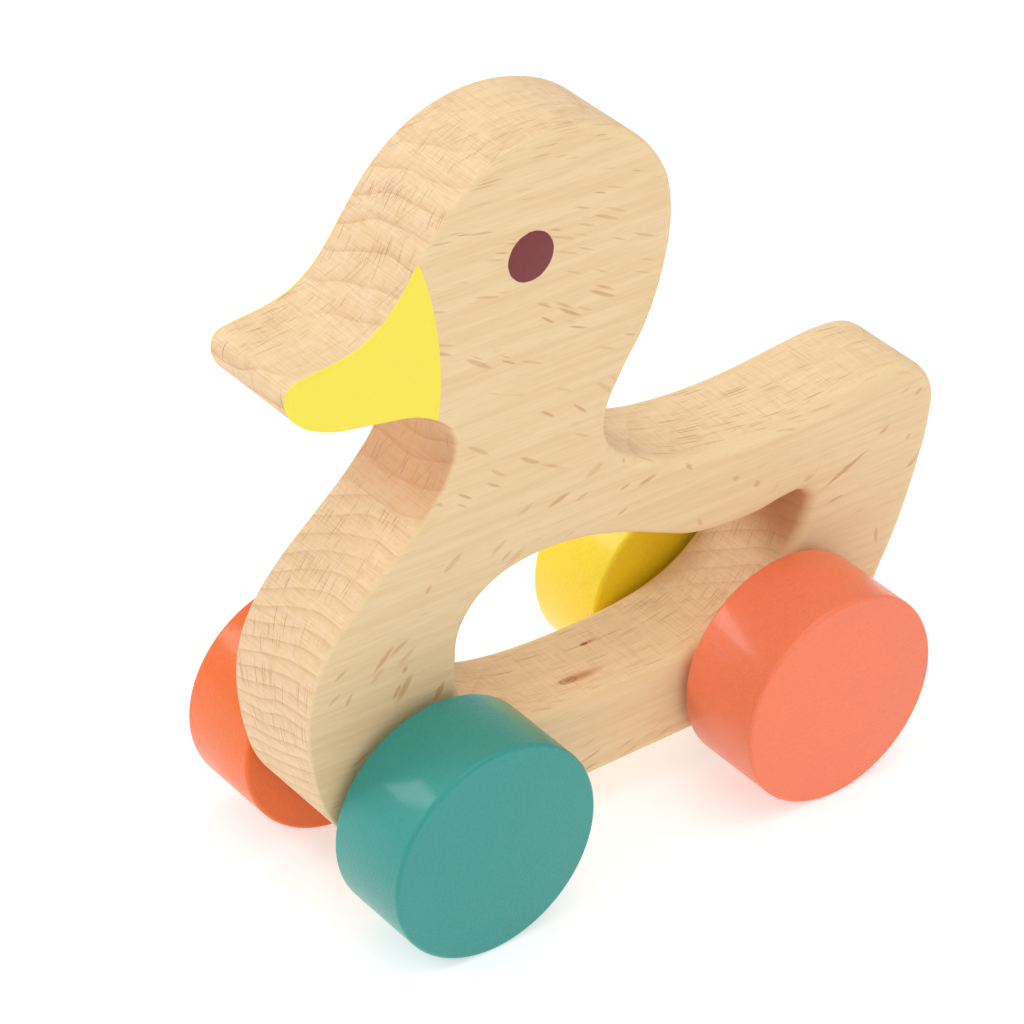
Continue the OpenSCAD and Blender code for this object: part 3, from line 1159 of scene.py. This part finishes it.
class DUCK_OT_finish_axles(bpy.types.Operator):
    """Give the two dowel axles their raw beech"""

    bl_idname = "duck.finish_axles"
    bl_label = "Finish Axles"

    def execute(self, context):
        material = dowel_material(context.scene.duck_beech)
        for node in AXLES:
            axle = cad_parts[node]
            axle.data.materials.clear()
            axle.data.materials.append(material)
        return {"FINISHED"}


# ---------------------------------------------------------------- the stage


# The soft lights: azimuth and elevation in degrees, then distance from the duck and side in metres
LIGHTS = {"key": (158, 36, 1.5, 1.1), "rim": (40, 32, 1.4, 0.5), "top": (200, 78, 1.5, 1.2)}


def direction(azimuth, elevation):
    """From the duck towards a place round it. Azimuth 0 is on the duck's right, and 90 in front"""
    level = math.cos(elevation)
    return Vector((math.sin(azimuth) * level, -math.cos(azimuth) * level, math.sin(elevation)))


def soft_box(name, azimuth, elevation, distance, size, power):
    """A square soft light that faces the duck"""
    light = bpy.data.lights.new(name, "AREA")
    light.shape, light.size, light.energy = "SQUARE", size, power
    lamp = bpy.data.objects.new(name, light)
    low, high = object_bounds()
    back = direction(math.radians(azimuth), math.radians(elevation))
    lamp.location = (low + high) / 2 + back * distance
    lamp.rotation_euler = back.to_track_quat("Z", "Y").to_euler()
    bpy.context.scene.collection.objects.link(lamp)


class DUCK_OT_set_stage(bpy.types.Operator):
    """Set the plain floor, the soft lights and the camera"""

    bl_idname = "duck.set_stage"
    bl_label = "Set Stage"

    def execute(self, context):
        scene, sizes = context.scene, context.scene.duck_stage
        self.lay_floor(scene, sizes)
        for name, place in LIGHTS.items():
            soft_box(f"{name}_light", *place, getattr(sizes, name))
        scene.world = bpy.data.worlds.new("studio_air")
        scene.world.use_nodes = True
        air = scene.world.node_tree.nodes["Background"]
        air.inputs["Color"].default_value = (1, 1, 1, 1)
        air.inputs["Strength"].default_value = sizes.air
        scene.view_settings.view_transform = "Standard"
        self.set_camera(scene, sizes)
        return {"FINISHED"}

    def lay_floor(self, scene, sizes):
        half = sizes.floor_size / 2
        mesh = bpy.data.meshes.new("floor")
        corners = [(-half, -half, 0), (half, -half, 0), (half, half, 0), (-half, half, 0)]
        mesh.from_pydata(corners, [], [(0, 1, 2, 3)])
        floor = bpy.data.objects.new("floor", mesh)
        scene.collection.objects.link(floor)
        material = bpy.data.materials.new("floor_paper")
        material.use_nodes = True
        shader = material.node_tree.nodes["Principled BSDF"]
        shader.inputs["Base Color"].default_value = linear(sizes.floor)
        shader.inputs["Roughness"].default_value = 0.9
        shader.inputs["Emission Color"].default_value = (1, 1, 1, 1)
        shader.inputs["Emission Strength"].default_value = sizes.floor_glow
        mesh.materials.append(material)
        floor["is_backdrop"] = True

    def set_camera(self, scene, sizes):
        back = direction(sizes.azimuth, sizes.elevation)
        level = Vector((0, 0, 1)).cross(back).normalized()
        upright = back.cross(level)
        turn, lean = math.cos(sizes.roll), math.sin(sizes.roll)
        right = turn * level + lean * upright
        up = -lean * level + turn * upright
        data = bpy.data.cameras.new("camera")
        data.lens = sizes.lens
        camera = bpy.data.objects.new("camera", data)
        axes = Matrix((right, up, back)).transposed().to_4x4()
        camera.matrix_world = Matrix.Translation(Vector(sizes.aim) + back * sizes.distance) @ axes
        scene.collection.objects.link(camera)
        scene.camera = camera


# ---------------------------------------------------------------- the add-on


class DUCK_PT_workbench(bpy.types.Panel):
    """Lists the steps of making the duck, with their sizes and colours"""

    bl_idname = "DUCK_PT_workbench"
    bl_label = "Wooden Duck"
    bl_space_type = "VIEW_3D"
    bl_region_type = "UI"
    bl_category = "Duck"

    def draw(self, context):
        for step, groups in STEPS:
            box = self.layout.box()
            box.operator(step)
            for group in groups:
                settings = getattr(context.scene, group)
                for name in settings.bl_rna.properties.keys():
                    if name not in ("rna_type", "name"):
                        box.prop(settings, name)


GROUPS = {
    "duck_board": DuckBoardSizes,
    "duck_beech": DuckBeech,
    "duck_paints": DuckPaints,
    "duck_wheels": DuckWheelSizes,
    "duck_stage": DuckStage,
}
STEPS = (
    ("duck.cut_board", ("duck_board", "duck_beech")),
    ("duck.paint_bill", ("duck_paints",)),
    ("duck.paint_eyes", ()),
    ("duck.turn_wheels", ("duck_wheels",)),
    ("duck.finish_axles", ()),
    ("duck.set_stage", ("duck_stage",)),
)
CLASSES = (
    *GROUPS.values(),
    DUCK_OT_cut_board,
    DUCK_OT_paint_bill,
    DUCK_OT_paint_eyes,
    DUCK_OT_turn_wheels,
    DUCK_OT_finish_axles,
    DUCK_OT_set_stage,
    DUCK_PT_workbench,
)


def register():
    for made in CLASSES:
        bpy.utils.register_class(made)
    for name, group in GROUPS.items():
        setattr(bpy.types.Scene, name, bpy.props.PointerProperty(type=group))


def unregister():
    for name in GROUPS:
        delattr(bpy.types.Scene, name)
    for made in reversed(CLASSES):
        bpy.utils.unregister_class(made)


def main():
    """Makes the whole duck and its stage"""
    register()
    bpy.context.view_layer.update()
    for step, _ in STEPS:
        section, action = step.split(".")
        getattr(getattr(bpy.ops, section), action)()


if __name__ == "__main__":
    main()
